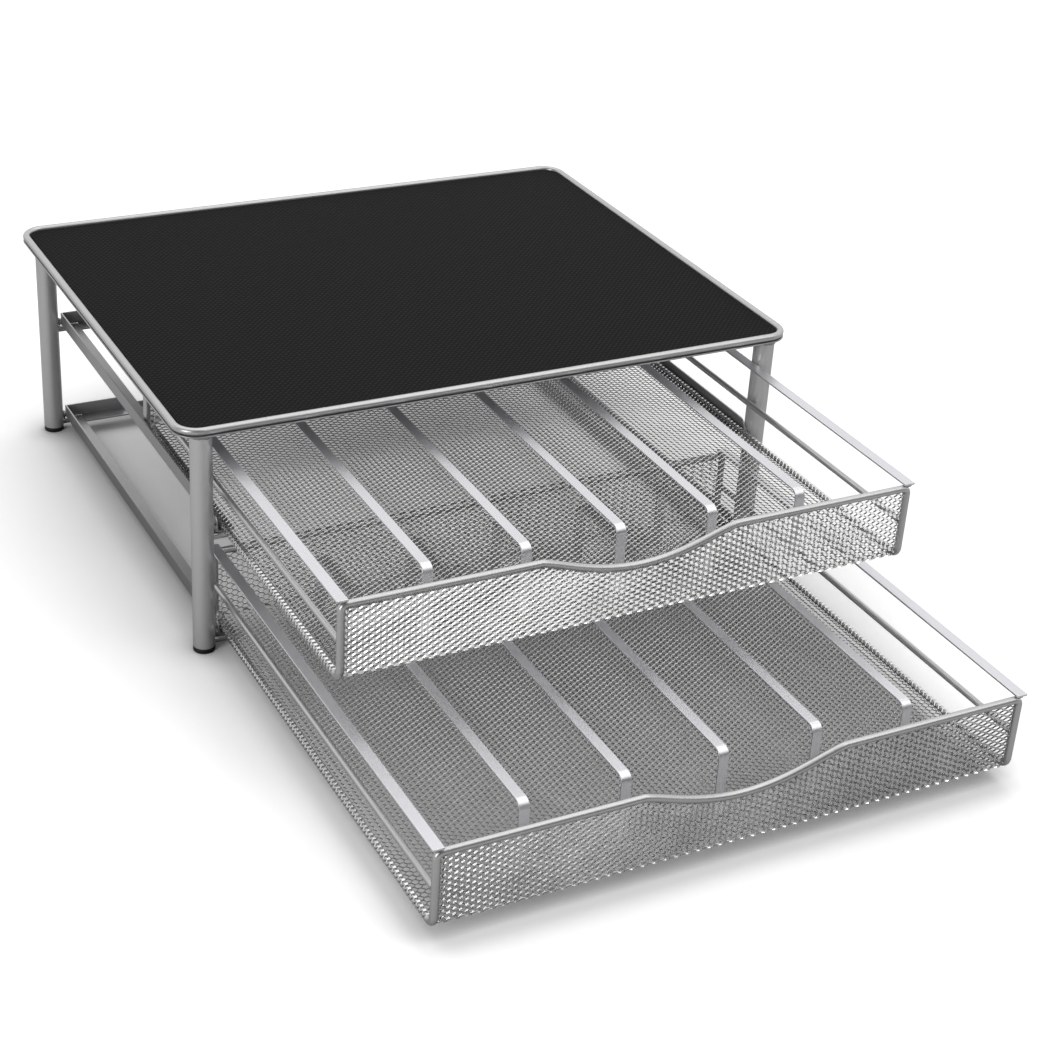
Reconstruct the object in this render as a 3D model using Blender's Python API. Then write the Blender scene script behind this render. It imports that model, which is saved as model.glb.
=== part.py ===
"""Two-tier coffee capsule drawer: a stand with a mat on top and two open wire drawers.

Metres, +Z up. X runs across the stand, -Y points to the front, where the drawers pull
out. The origin lies on the table, in the middle of the stand with its drawers as far
out as they stand at rest.
"""
import math

import bmesh
import bpy
from mathutils import Matrix, Quaternion, Vector

for old in list(bpy.data.objects):
    bpy.data.objects.remove(old, do_unlink=True)


# Driving sizes of the stand
FRAME_WIDTH = 0.366
FRAME_DEPTH = 0.294
FRAME_HEIGHT = 0.1344
RIM_WIRE = 0.004
RIM_CORNER_RADIUS = 0.014
PLATE_THICKNESS = 0.0008
MAT_THICKNESS = 0.0022
LEG_DIAMETER = 0.0118
LEG_WALL = 0.0012
LEG_SIDE_INSET = 0.014
LEG_END_INSET = 0.0075
FOOT_HEIGHT = 0.0025
FOOT_STEM = 0.009

# Driving sizes of the drawer runners
RAIL_HEIGHT = 0.009
RAIL_FLANGE = 0.010
SHEET = 0.001
RAIL_NOSE_RADIUS = 0.006
RAIL_LEG_GAP = 0.0013
RAIL_FRONT_OVERLAP = 0.0015
LOWER_RAIL_LEVEL = 0.007
STUD_DIAMETER = 0.004
STUD_UNDER_RAIL = 0.006
REAR_BAR_RAISED_WIDTH = 0.036
REAR_BAR_LOW_HEIGHT = 0.004

# Driving sizes of a drawer, and the free height over each
UPPER_HEADROOM = 0.0123
LOWER_HEADROOM = 0.0164
DRAWER_WIRE = 0.004
SIDE_WIRE = 0.0034
BOTTOM_BEND_RADIUS = 0.005
TOP_BEND_RADIUS = 0.003
WIRE_STUB = 0.001
TOP_BAR_WIDTH = 0.006
STRIP_WIDTH = 0.0056
STRIP_THICKNESS = 0.0012
STRIP_TOP_DROP = 0.001
STRIP_INSET = 0.019
STRIP_BEND_RADIUS = 0.005
STRIPS = 5
DIP_WIDTH = 0.110
DIP_DEPTH = 0.012
DIP_ROUNDING = 1.3
NET_THICKNESS = 0.0008
NET_STRAND = 0.0016
NET_ROWS_BETWEEN = 10
NET_WALL_ROWS = 4
NET_TOP_CUTS = 3

# How much of each drawer is still under the top at rest
UPPER_STAYS_UNDER = 0.1273
LOWER_STAYS_UNDER = 0.0184

# Clearances
SEAT = 0.0003
SIDE_CLEARANCE = 0.0008
STOP_CLEARANCE = 0.001
STUD_CLEARANCE = 0.0003
NET_DIP_CLEARANCE = 0.0008

# Roundness of what is turned or bent
BENT_ROUND_STEPS = 2
STRAIGHT_ROUND_STEPS = 4
BEND_STEPS = 4
CORNER_STEPS = 6
DIP_STEPS = 16
LEG_SIDES = 24
STUD_SIDES = 12

# Finishes: colour, roughness, metallic
SILVER = ((0.62, 0.62, 0.63), 0.38, 0.55)
SHEET_SILVER = ((0.56, 0.56, 0.57), 0.42, 0.55)
NET_SILVER = ((0.60, 0.60, 0.61), 0.36, 0.60)
MAT_BLACK = ((0.028, 0.028, 0.029), 0.72, 0.0)
FOOT_BLACK = ((0.012, 0.012, 0.012), 0.55, 0.0)

# Places that follow from the sizes
rail_end_inset = LEG_END_INSET + RAIL_FRONT_OVERLAP
drawer_depth = (FRAME_DEPTH - rail_end_inset - SHEET - STOP_CLEARANCE - DRAWER_WIRE / 2
                - RIM_WIRE / 2)
upper_pull_out = drawer_depth - UPPER_STAYS_UNDER
lower_pull_out = drawer_depth - LOWER_STAYS_UNDER
frame_front = -(FRAME_DEPTH + RIM_WIRE / 2 - lower_pull_out - DRAWER_WIRE / 2) / 2
frame_back = frame_front + FRAME_DEPTH
frame_middle = (frame_front + frame_back) / 2
wire_level = FRAME_HEIGHT - RIM_WIRE / 2
plate_top = FRAME_HEIGHT - RIM_WIRE - SEAT
plate_bottom = plate_top - PLATE_THICKNESS
leg_radius = LEG_DIAMETER / 2
leg_x = FRAME_WIDTH / 2 - LEG_SIDE_INSET
leg_front = frame_front + LEG_END_INSET
leg_back = frame_back - LEG_END_INSET
leg_bottom = FOOT_HEIGHT + SEAT
leg_top = plate_bottom - SEAT

rail_outer = leg_x - leg_radius - RAIL_LEG_GAP
rail_inner = rail_outer - SHEET
rail_front = leg_front - RAIL_FRONT_OVERLAP
rail_back = frame_back - rail_end_inset
drawer_half = rail_inner - SIDE_CLEARANCE - DRAWER_WIRE / 2
drawer_closed_front = frame_front + RIM_WIRE / 2
wire_above_rail = SHEET + SEAT + DRAWER_WIRE / 2
lower_wire_level = LOWER_RAIL_LEVEL + wire_above_rail
height_for_drawers = (plate_bottom - UPPER_HEADROOM - LOWER_HEADROOM - lower_wire_level
                      - wire_above_rail)
top_bar_top = height_for_drawers / 2
top_bar_bottom = top_bar_top - STRIP_THICKNESS
drawer_height = top_bar_bottom - SEAT - DRAWER_WIRE / 2
upper_wire_level = plate_bottom - UPPER_HEADROOM - top_bar_top
upper_rail_level = upper_wire_level - wire_above_rail

strip_pitch = 2 * drawer_half / (STRIPS + 1)
strip_top = drawer_height - STRIP_TOP_DROP
net_half = drawer_half - DRAWER_WIRE / 2 - SEAT
net_columns = 2 * (STRIPS + 1)
floor_top = NET_THICKNESS / 2


def finish(part, look):
    """Gives a part a material of its own."""
    colour, roughness, metallic = look
    material = bpy.data.materials.new(part.name + "_finish")
    material.use_nodes = True
    surface = material.node_tree.nodes["Principled BSDF"]
    surface.inputs["Base Color"].default_value = (*colour, 1)
    surface.inputs["Roughness"].default_value = roughness
    surface.inputs["Metallic"].default_value = metallic
    part.data.materials.append(material)


def place(part, look, location=(0, 0, 0), turn=0, parent=None):
    """Puts a part into the scene at its place, turned about the vertical."""
    bpy.context.scene.collection.objects.link(part)
    part.location = location
    part.rotation_euler.z = turn
    part.parent = parent
    finish(part, look)
    return part


def solid(name, mesh_edit):
    """An object from an edit mesh, with its faces pointing out."""
    bmesh.ops.recalc_face_normals(mesh_edit, faces=mesh_edit.faces)
    mesh = bpy.data.meshes.new(name)
    mesh_edit.to_mesh(mesh)
    mesh_edit.free()
    return bpy.data.objects.new(name, mesh)


def shade_round(part):
    """Smooth shading with crisp edges on a turned part."""
    part.data.shade_smooth()
    part.data.set_sharp_from_angle(angle=math.radians(35))


def thicken(mesh_edit, push):
    """Makes a flat sheet solid along a vector and returns the faces at the far end."""
    result = bmesh.ops.extrude_face_region(mesh_edit, geom=mesh_edit.faces[:])
    moved = [item for item in result["geom"] if isinstance(item, bmesh.types.BMVert)]
    bmesh.ops.translate(mesh_edit, verts=moved, vec=push)
    return [item for item in result["geom"] if isinstance(item, bmesh.types.BMFace)]


def pull(mesh_edit, faces, push):
    """Pulls faces of a closed body out along a vector and returns them."""
    pulled = bmesh.ops.extrude_discrete_faces(mesh_edit, faces=faces)["faces"]
    moved = {vertex for face in pulled for vertex in face.verts}
    bmesh.ops.translate(mesh_edit, verts=list(moved), vec=push)
    return pulled


def prism(outline, push):
    """A closed solid: a flat outline pushed along a vector."""
    mesh_edit = bmesh.new()
    corners = [mesh_edit.verts.new(point) for point in outline]
    mesh_edit.faces.new(corners)
    thicken(mesh_edit, push)
    return mesh_edit


def rounded_rectangle(width, depth, radius, level):
    """Points round a rectangle with round corners, in the middle of XY."""
    points = []
    for quarter in range(4):
        side_x = 1 if quarter in (0, 3) else -1
        side_y = 1 if quarter in (0, 1) else -1
        for step in range(CORNER_STEPS + 1):
            angle = math.radians(90 * (quarter + step / CORNER_STEPS))
            x = side_x * (width / 2 - radius) + radius * math.cos(angle)
            y = side_y * (depth / 2 - radius) + radius * math.sin(angle)
            points.append(Vector((x, y, level)))
    return points


def rounded_path(corners, radii):
    """Straight runs between corners, with an arc of its own radius at each inner corner."""
    corners = [Vector(corner) for corner in corners]
    path = [corners[0]]
    for before, corner, after, radius in zip(corners, corners[1:], corners[2:], radii):
        back = (before - corner).normalized()
        ahead = (after - corner).normalized()
        half_angle = back.angle(ahead) / 2
        centre = corner + (back + ahead).normalized() * radius / math.sin(half_angle)
        arm = corner + back * radius / math.tan(half_angle) - centre
        turn = math.pi - 2 * half_angle
        axis = ahead.cross(back)
        for step in range(BEND_STEPS + 1):
            path.append(centre + Quaternion(axis, turn * step / BEND_STEPS) @ arm)
    path.append(corners[-1])
    return path


def wire(name, points, diameter, steps=BENT_ROUND_STEPS, closed=False):
    """A round wire bent along a path."""
    curve = bpy.data.curves.new(name, "CURVE")
    curve.dimensions = "3D"
    curve.bevel_depth = diameter / 2
    curve.bevel_resolution = steps
    curve.use_fill_caps = not closed
    spline = curve.splines.new("POLY")
    spline.points.add(len(points) - 1)
    for target, point in zip(spline.points, points):
        target.co = (*point, 1)
    spline.use_cyclic_u = closed
    return bpy.data.objects.new(name, curve)


def rod(name, length, diameter, sides):
    """A plain round pin along +X from the origin."""
    mesh_edit = bmesh.new()
    bmesh.ops.create_cone(mesh_edit, cap_ends=True, segments=sides, radius1=diameter / 2,
                          radius2=diameter / 2, depth=length)
    lie_down = Matrix.Rotation(math.radians(90), 4, "Y")
    shift = Matrix.Translation((length / 2, 0, 0))
    bmesh.ops.transform(mesh_edit, matrix=shift @ lie_down, verts=mesh_edit.verts)
    return solid(name, mesh_edit)


def angle_bar(name, outline, flange):
    """Folded sheet: an upright web from its outline in XZ, with a flange along its foot.

    The web's far face is at y = 0 and the flange sticks out towards -Y.
    """
    mesh_edit = prism([(x, 0, z) for x, z in outline], Vector((0, -SHEET, 0)))
    everything = mesh_edit.verts[:] + mesh_edit.edges[:] + mesh_edit.faces[:]
    bmesh.ops.bisect_plane(mesh_edit, geom=everything, plane_co=(0, 0, SHEET),
                           plane_no=(0, 0, 1), dist=1e-7)
    foot = []
    for face in mesh_edit.faces:
        middle = face.calc_center_median()
        if middle.z < SHEET and abs(middle.y + SHEET) < 1e-7:
            foot.append(face)
    pull(mesh_edit, foot, Vector((0, SHEET - flange, 0)))
    return solid(name, mesh_edit)


def dip(x):
    """How far the front of a drawer dips at a place across it."""
    share = 1 - (2 * x / DIP_WIDTH) ** 2
    if share <= 0:
        return 0
    return DIP_DEPTH * share ** DIP_ROUNDING


def corner_relief(x):
    """How far a wall panel's top corner stays below the bend of its wire."""
    if abs(x) < net_half - SEAT:
        return 0
    return TOP_BEND_RADIUS - DRAWER_WIRE / 2


def front_drop(x):
    """The top edge of the front panel, which follows the finger dip."""
    return dip(x) + corner_relief(x)


def net(name, rows, drop=None):
    """Expanded metal as a flat diamond lattice in XY, its rows given from the near edge.

    A drop lowers the far edge, and the rows in between in proportion.
    """
    mesh_edit = bmesh.new()
    knots = {}
    for column in range(net_columns + 1):
        across = strip_pitch / 2 * (column - net_columns / 2)
        x = max(-net_half, min(net_half, across))
        for row, y in enumerate(rows):
            if (column + row) % 2 == 0:
                knots[column, row] = mesh_edit.verts.new((x, y, 0))
    for column in range(net_columns + 1):
        for row in range(len(rows)):
            around = [(column - 1, row), (column, row - 1), (column + 1, row), (column, row + 1)]
            corners = [knots[key] for key in around if key in knots]
            if (column + row) % 2 == 1 and len(corners) > 2:
                mesh_edit.faces.new(corners)
    if drop:
        top = rows[-1]
        top_edges = [edge for edge in mesh_edit.edges
                     if all(vertex.co.y > top - 1e-7 for vertex in edge.verts)]
        bmesh.ops.subdivide_edges(mesh_edit, edges=top_edges, cuts=NET_TOP_CUTS)
        for vertex in mesh_edit.verts:
            vertex.co.y -= drop(vertex.co.x) * (vertex.co.y - rows[0]) / (top - rows[0])
    mesh_edit.normal_update()
    gaps = mesh_edit.faces[:]
    bmesh.ops.inset_individual(mesh_edit, faces=gaps, thickness=NET_STRAND / 2, use_even_offset=True)
    bmesh.ops.delete(mesh_edit, geom=gaps, context="FACES")
    thicken(mesh_edit, Vector((0, 0, NET_THICKNESS)))
    bmesh.ops.translate(mesh_edit, verts=mesh_edit.verts, vec=(0, 0, -NET_THICKNESS / 2))
    return solid(name, mesh_edit)


def stand_up(part):
    """Turns a net's mesh from lying in XY to standing in XZ."""
    part.data.transform(Matrix.Rotation(math.radians(90), 4, "X"))
    return part


def even_rows(start, end, count):
    """Row places in equal steps."""
    return [start + (end - start) * step / count for step in range(count + 1)]


# Top: a bent rim wire over a thin plate, with a mat laid inside the wire
rim = rounded_rectangle(FRAME_WIDTH - RIM_WIRE, FRAME_DEPTH - RIM_WIRE,
                        RIM_CORNER_RADIUS - RIM_WIRE / 2, 0)
place(wire("top_rim_wire", rim, RIM_WIRE, closed=True), SILVER, (0, frame_middle, wire_level))

plate = prism(rounded_rectangle(FRAME_WIDTH, FRAME_DEPTH, RIM_CORNER_RADIUS, 0),
              Vector((0, 0, PLATE_THICKNESS)))
place(solid("top_plate", plate), SHEET_SILVER, (0, frame_middle, plate_bottom))

mat_margin = RIM_WIRE + SEAT
mat = prism(rounded_rectangle(FRAME_WIDTH - 2 * mat_margin, FRAME_DEPTH - 2 * mat_margin,
                              RIM_CORNER_RADIUS - mat_margin, 0),
            Vector((0, 0, MAT_THICKNESS)))
place(solid("top_mat", mat), MAT_BLACK, (0, frame_middle, plate_top + SEAT))


def leg_tube(name):
    """An open tube standing on z = 0."""
    mesh_edit = bmesh.new()
    bmesh.ops.create_cone(mesh_edit, cap_ends=True, segments=LEG_SIDES, radius1=leg_radius,
                          radius2=leg_radius, depth=leg_top - leg_bottom)
    ends = [face for face in mesh_edit.faces if len(face.verts) > 4]
    bmesh.ops.inset_individual(mesh_edit, faces=ends, thickness=LEG_WALL, use_even_offset=True)
    bmesh.ops.bridge_loops(mesh_edit, edges=[edge for face in ends for edge in face.edges])
    bmesh.ops.delete(mesh_edit, geom=ends, context="FACES_ONLY")
    bmesh.ops.translate(mesh_edit, verts=mesh_edit.verts, vec=(0, 0, (leg_top - leg_bottom) / 2))
    return solid(name, mesh_edit)


def foot_cap(name):
    """A rubber foot: a disc as wide as the leg, with a stem that plugs the tube."""
    mesh_edit = bmesh.new()
    bmesh.ops.create_circle(mesh_edit, cap_ends=True, segments=LEG_SIDES, radius=leg_radius)
    top = thicken(mesh_edit, Vector((0, 0, FOOT_HEIGHT)))
    bmesh.ops.inset_individual(mesh_edit, faces=top, thickness=LEG_WALL + SEAT,
                               use_even_offset=True)
    pull(mesh_edit, top, Vector((0, 0, FOOT_STEM)))
    return solid(name, mesh_edit)


# Legs with a rubber foot each, and the studs that carry the runners
sides = (("left", -1), ("right", 1))
ends = (("front", leg_front), ("rear", leg_back))
levels = (("upper", upper_rail_level), ("lower", LOWER_RAIL_LEVEL))
stud_offset = leg_radius - LEG_WALL
stud_length = LEG_WALL + RAIL_LEG_GAP + STUD_UNDER_RAIL
stud_drop = SEAT + STUD_DIAMETER / 2


def stud_turn(side):
    """A stud points from its leg towards the middle of the stand."""
    return math.pi if side > 0 else 0


for end_name, leg_y in ends:
    for side_name, side in sides:
        corner_name = end_name + "_" + side_name
        leg = place(leg_tube("leg_" + corner_name), SILVER, (side * leg_x, leg_y, leg_bottom))
        shade_round(leg)
        foot = place(foot_cap("foot_" + corner_name), FOOT_BLACK, (side * leg_x, leg_y, 0))
        shade_round(foot)
        for level_name, rail_level in levels:
            stud_start = (side * (leg_x - stud_offset), leg_y, rail_level - stud_drop)
            stud = rod("stud_" + level_name + "_" + corner_name, stud_length, STUD_DIAMETER,
                       STUD_SIDES)
            place(stud, SILVER, stud_start, stud_turn(side))
            shade_round(stud)
            hole = rod("hole_" + level_name + "_" + corner_name, 3 * LEG_WALL,
                       STUD_DIAMETER + 2 * STUD_CLEARANCE, STUD_SIDES)
            hole_start = (side * (leg_x - stud_offset + LEG_WALL), leg_y, rail_level - stud_drop)
            place(hole, SILVER, hole_start, stud_turn(side))
            hole.hide_render = True
            hole.display_type = "WIRE"
            drill = leg.modifiers.new("stud hole " + level_name, "BOOLEAN")
            drill.operation = "DIFFERENCE"
            drill.solver = "EXACT"
            drill.object = hole


def rail_outline(length):
    """The upright web of a runner: a strip whose top front corner is rounded off."""
    outline = [(0, 0), (length, 0), (length, RAIL_HEIGHT)]
    for step in range(CORNER_STEPS + 1):
        angle = math.radians(90 + 90 * step / CORNER_STEPS)
        x = RAIL_NOSE_RADIUS * (1 + math.cos(angle))
        z = RAIL_HEIGHT - RAIL_NOSE_RADIUS * (1 - math.sin(angle))
        outline.append((x, z))
    return outline


def rear_bar_outline():
    """The web between two runners: full height at both ends and low in between.

    Its ends stand on the runners' flanges, and its own flange fits between them.
    """
    half = rail_inner - SEAT
    raised = half - REAR_BAR_RAISED_WIDTH
    foot = rail_outer - RAIL_FLANGE - SEAT
    lift = SHEET + SEAT
    right = [(foot, 0), (foot, lift), (half, lift), (half, RAIL_HEIGHT), (raised, RAIL_HEIGHT),
             (raised, REAR_BAR_LOW_HEIGHT)]
    return right + [(-x, z) for x, z in reversed(right)]


# Runners and the bars that tie them at the rear, all of folded sheet
rail_length = rail_back - rail_front
for level_name, rail_level in levels:
    left_rail = angle_bar("rail_" + level_name + "_left", rail_outline(rail_length), RAIL_FLANGE)
    place(left_rail, SHEET_SILVER, (-rail_outer, rail_front, rail_level), math.pi / 2)

    mirrored = left_rail.data.copy()
    mirrored.transform(Matrix.Scale(-1, 4, (0, 1, 0)))
    mirrored.flip_normals()
    right_rail = bpy.data.objects.new("rail_" + level_name + "_right", mirrored)
    right_rail.data.materials.clear()
    place(right_rail, SHEET_SILVER, (rail_outer, rail_front, rail_level), math.pi / 2)

    rear_bar = angle_bar("rear_bar_" + level_name, rear_bar_outline(), RAIL_FLANGE)
    place(rear_bar, SHEET_SILVER, (0, rail_back, rail_level))


def front_wire_path():
    """From the left bottom wire up, across the front with its finger dip, and down again."""
    half_dip = DIP_WIDTH / 2
    left = rounded_path([(-drawer_half, BOTTOM_BEND_RADIUS + WIRE_STUB, 0), (-drawer_half, 0, 0),
                         (-drawer_half, 0, drawer_height), (-half_dip, 0, drawer_height)],
                        [BOTTOM_BEND_RADIUS, TOP_BEND_RADIUS])
    middle = []
    for step in range(1, DIP_STEPS):
        x = half_dip * (2 * step / DIP_STEPS - 1)
        middle.append(Vector((x, 0, drawer_height - dip(x))))
    right = [Vector((-point.x, point.y, point.z)) for point in reversed(left)]
    return left + middle + right


def rear_wire_path():
    """The plain arch at the rear, bent forward at its feet."""
    foot_reach = -(BOTTOM_BEND_RADIUS + WIRE_STUB)
    return rounded_path([(-drawer_half, foot_reach, 0), (-drawer_half, 0, 0),
                         (-drawer_half, 0, drawer_height), (drawer_half, 0, drawer_height),
                         (drawer_half, 0, 0), (drawer_half, foot_reach, 0)],
                        [BOTTOM_BEND_RADIUS, TOP_BEND_RADIUS, TOP_BEND_RADIUS, BOTTOM_BEND_RADIUS])


def strip(name):
    """A flat strip folded into an arch from front to rear, standing on the floor."""
    front = STRIP_INSET
    rear = drawer_depth - STRIP_INSET
    foot = floor_top + SEAT
    outer = rounded_path([(0, front, foot), (0, front, strip_top), (0, rear, strip_top),
                          (0, rear, foot)], [STRIP_BEND_RADIUS] * 2)
    inner = rounded_path([(0, front + STRIP_THICKNESS, foot),
                          (0, front + STRIP_THICKNESS, strip_top - STRIP_THICKNESS),
                          (0, rear - STRIP_THICKNESS, strip_top - STRIP_THICKNESS),
                          (0, rear - STRIP_THICKNESS, foot)],
                         [STRIP_BEND_RADIUS - STRIP_THICKNESS] * 2)
    arch = prism(outer + inner[::-1], Vector((STRIP_WIDTH, 0, 0)))
    return solid(name, arch)


def flat_bar(name, length):
    """A flat bar along +Y, centred on its width."""
    half = TOP_BAR_WIDTH / 2
    outline = [(-half, 0, 0), (half, 0, 0), (half, length, 0), (-half, length, 0)]
    return solid(name, prism(outline, Vector((0, 0, STRIP_THICKNESS))))


def floor_rows():
    """Rows of knots in the floor: one under each strip's feet, the rest in even steps."""
    net_front = -NET_THICKNESS / 2
    net_rear = drawer_depth + NET_THICKNESS / 2
    front_feet = STRIP_INSET + STRIP_THICKNESS / 2
    rear_feet = drawer_depth - front_feet
    rows = [net_front, (net_front + front_feet) / 2]
    rows += even_rows(front_feet, rear_feet, NET_ROWS_BETWEEN)
    rows += [(rear_feet + net_rear) / 2, net_rear]
    return rows


def build_drawer(level_name, pulled_out, bottom_wire_level):
    """One drawer: bent wires, flat bars, five strips and three panels of expanded metal."""
    slide = bpy.data.objects.new(level_name + "_drawer_slide", None)
    bpy.context.scene.collection.objects.link(slide)
    slide.location = (0, drawer_closed_front - pulled_out, bottom_wire_level)

    def name(piece):
        return level_name + "_" + piece

    place(wire(name("front_wire"), front_wire_path(), DRAWER_WIRE), SILVER, parent=slide)
    place(wire(name("rear_wire"), rear_wire_path(), DRAWER_WIRE), SILVER,
          (0, drawer_depth, 0), parent=slide)

    bottom_start = BOTTOM_BEND_RADIUS + WIRE_STUB + SEAT
    side_start = DRAWER_WIRE / 2 + SEAT
    bar_overhang = DRAWER_WIRE / 2
    for side_name, side in sides:
        bottom = [(0, bottom_start, 0), (0, drawer_depth - bottom_start, 0)]
        place(wire(name("bottom_wire_" + side_name), bottom, DRAWER_WIRE,
                   STRAIGHT_ROUND_STEPS), SILVER, (side * drawer_half, 0, 0), parent=slide)
        middle = [(0, side_start, 0), (0, drawer_depth - side_start, 0)]
        place(wire(name("side_wire_" + side_name), middle, SIDE_WIRE, STRAIGHT_ROUND_STEPS),
              SILVER, (side * drawer_half, 0, drawer_height / 2), parent=slide)
        place(flat_bar(name("top_bar_" + side_name), drawer_depth + 2 * bar_overhang), SILVER,
              (side * drawer_half, -bar_overhang, top_bar_bottom), parent=slide)

    for number in range(STRIPS):
        strip_x = strip_pitch * (number - (STRIPS - 1) / 2)
        place(strip(name("divider_" + str(number + 1))), SILVER,
              (strip_x - STRIP_WIDTH / 2, 0, 0), parent=slide)

    wall_foot = floor_top + SEAT
    wall_top = drawer_height - DRAWER_WIRE / 2
    front_rows = even_rows(wall_foot, wall_top - NET_DIP_CLEARANCE, NET_WALL_ROWS)
    rear_rows = even_rows(wall_foot, wall_top - SEAT, NET_WALL_ROWS)
    place(net(name("floor_mesh"), floor_rows()), NET_SILVER, parent=slide)
    place(stand_up(net(name("front_mesh"), front_rows, front_drop)), NET_SILVER, parent=slide)
    place(stand_up(net(name("rear_mesh"), rear_rows, corner_relief)), NET_SILVER,
          (0, drawer_depth, 0), parent=slide)


build_drawer("upper", upper_pull_out, upper_wire_level)
build_drawer("lower", lower_pull_out, lower_wire_level)
bpy.context.view_layer.update()
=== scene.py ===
import math

import bmesh
import bpy
from mathutils import Matrix, Vector, noise


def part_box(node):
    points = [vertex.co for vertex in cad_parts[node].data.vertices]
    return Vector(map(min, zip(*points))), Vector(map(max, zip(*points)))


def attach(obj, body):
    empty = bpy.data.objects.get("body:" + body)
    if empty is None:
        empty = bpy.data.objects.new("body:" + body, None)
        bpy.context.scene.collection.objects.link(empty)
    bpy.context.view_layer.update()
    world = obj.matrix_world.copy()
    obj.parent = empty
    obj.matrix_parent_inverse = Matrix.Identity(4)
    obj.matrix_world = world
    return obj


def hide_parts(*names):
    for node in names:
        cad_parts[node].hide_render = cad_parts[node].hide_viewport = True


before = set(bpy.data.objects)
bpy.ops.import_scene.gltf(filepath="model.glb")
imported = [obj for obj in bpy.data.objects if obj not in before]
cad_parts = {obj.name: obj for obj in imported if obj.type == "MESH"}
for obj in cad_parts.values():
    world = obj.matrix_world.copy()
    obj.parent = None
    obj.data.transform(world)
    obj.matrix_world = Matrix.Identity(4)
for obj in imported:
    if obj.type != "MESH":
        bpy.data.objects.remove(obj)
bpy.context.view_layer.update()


# Camera
# It looks at the stand from its front left corner and a little above, rolled by a few
# degrees, which is how the drawers are photographed.
CAMERA_PLACE = (-0.4930, -0.9434, 0.6282)
CAMERA_TURN = (60.976, -3.263, -26.984)
CAMERA_LENS = 74.45


def clear():
    """Nothing stays selected."""
    bpy.ops.object.select_all(action="DESELECT")


clear()
bpy.ops.object.camera_add(location=CAMERA_PLACE, rotation=[math.radians(a) for a in CAMERA_TURN])
camera = bpy.context.object
camera.data.lens = CAMERA_LENS
bpy.context.scene.camera = camera


# Studio
# A white table that runs on into a white surround. Where something is close above it,
# its colour and its glow are darkened by ambient occlusion, a painted shadow of the stand.
# One soft lamp stands high at the front right, one hangs overhead, one stands low at the
# left, and the room is darker on the camera's side.
TABLE_SIZE = 16.0
TABLE_WHITE = (0.80, 0.80, 0.80, 1)
TABLE_SHADE = (0.02, 0.02, 0.02, 1)
TABLE_ROUGHNESS = 0.9
TABLE_LIFT = 0.95
TABLE_FAR_LIFT = 0.06
TABLE_FAR_FROM = 0.3
TABLE_FAR_TO = 1.2
TABLE_MIRRORED = 0.55
TABLE_BOUNCE = 0.12
TABLE_NEAR = 0.020
TABLE_WIDE = 0.20
SHADOW_FALL = 1.5
SURROUND_LIGHT = 0.04
SURROUND_FRONT = 0.05
SURROUND_BACKWARD = (0.48, 0.88, 0.0)
SURROUND_FADE_FROM = -0.6
SURROUND_FADE_TO = 0.3
TOP_LAMP_PLACE = (0.05, 0.15, 1.30)
TOP_LAMP_WIDTH = 1.6
TOP_LAMP_POWER = 5.0
FRONT_LAMP_PLACE = (0.72, -0.92, 1.28)
FRONT_LAMP_WIDTH = 1.1
FRONT_LAMP_POWER = 4.8
SIDE_LAMP_PLACE = (-1.5, -0.7, 0.6)
SIDE_LAMP_WIDTH = 0.7
SIDE_LAMP_POWER = 9.0
LAMP_AIM = (0, 0, 0.05)


class Shade:
    """One socket in a material. Sums written on it add Math nodes."""

    def __init__(self, tree, socket=None):
        self.tree = tree
        self.socket = socket

    def node(self, kind, settings=None, inputs=None, output=0):
        """Adds a node, sets it up, feeds its sockets and returns one of its outputs."""
        made = self.tree.nodes.new("ShaderNode" + kind)
        for name, value in (settings or {}).items():
            setattr(made, name, value)
        for name, value in (inputs or {}).items():
            if isinstance(value, Shade):
                self.tree.links.new(value.socket, made.inputs[name])
            else:
                made.inputs[name].default_value = value
        return Shade(self.tree, made.outputs[output])

    def maths(self, operation, first, second=0.0):
        return self.node("Math", {"operation": operation}, {0: first, 1: second})

    def blend(self, share, dark, light):
        """A colour between two others."""
        return self.node("Mix", {"data_type": "RGBA"}, {"Factor": share, 6: dark, 7: light},
                         output=2)

    def feed(self, shader, name):
        """Links this socket to a socket of a shader."""
        self.tree.links.new(self.socket, shader.inputs[name])

    def __add__(self, other):
        return self.maths("ADD", self, other)

    def __radd__(self, other):
        return self.maths("ADD", other, self)

    def __sub__(self, other):
        return self.maths("SUBTRACT", self, other)

    def __rsub__(self, other):
        return self.maths("SUBTRACT", other, self)

    def __mul__(self, other):
        return self.maths("MULTIPLY", self, other)

    def __rmul__(self, other):
        return self.maths("MULTIPLY", other, self)


def bare_look(name):
    """A new material, its nodes and its one shader."""
    look = bpy.data.materials.new(name)
    look.use_nodes = True
    return look, Shade(look.node_tree), look.node_tree.nodes["Principled BSDF"]


table_white, nodes, surface = bare_look("table_white")
surface.inputs["Roughness"].default_value = TABLE_ROUGHNESS
surface.inputs["Specular IOR Level"].default_value = 0.0
surface.inputs["Emission Color"].default_value = (1, 1, 1, 1)
camera_ray = nodes.node("LightPath", output="Is Camera Ray")
glossy_ray = nodes.node("LightPath", output="Is Glossy Ray")
seen = nodes.maths("MAXIMUM", camera_ray, glossy_ray * TABLE_MIRRORED)
near = nodes.node("AmbientOcclusion", {"samples": 12}, {"Distance": TABLE_NEAR}, output="AO")
wide = nodes.node("AmbientOcclusion", {"samples": 8}, {"Distance": TABLE_WIDE}, output="AO")
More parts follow.
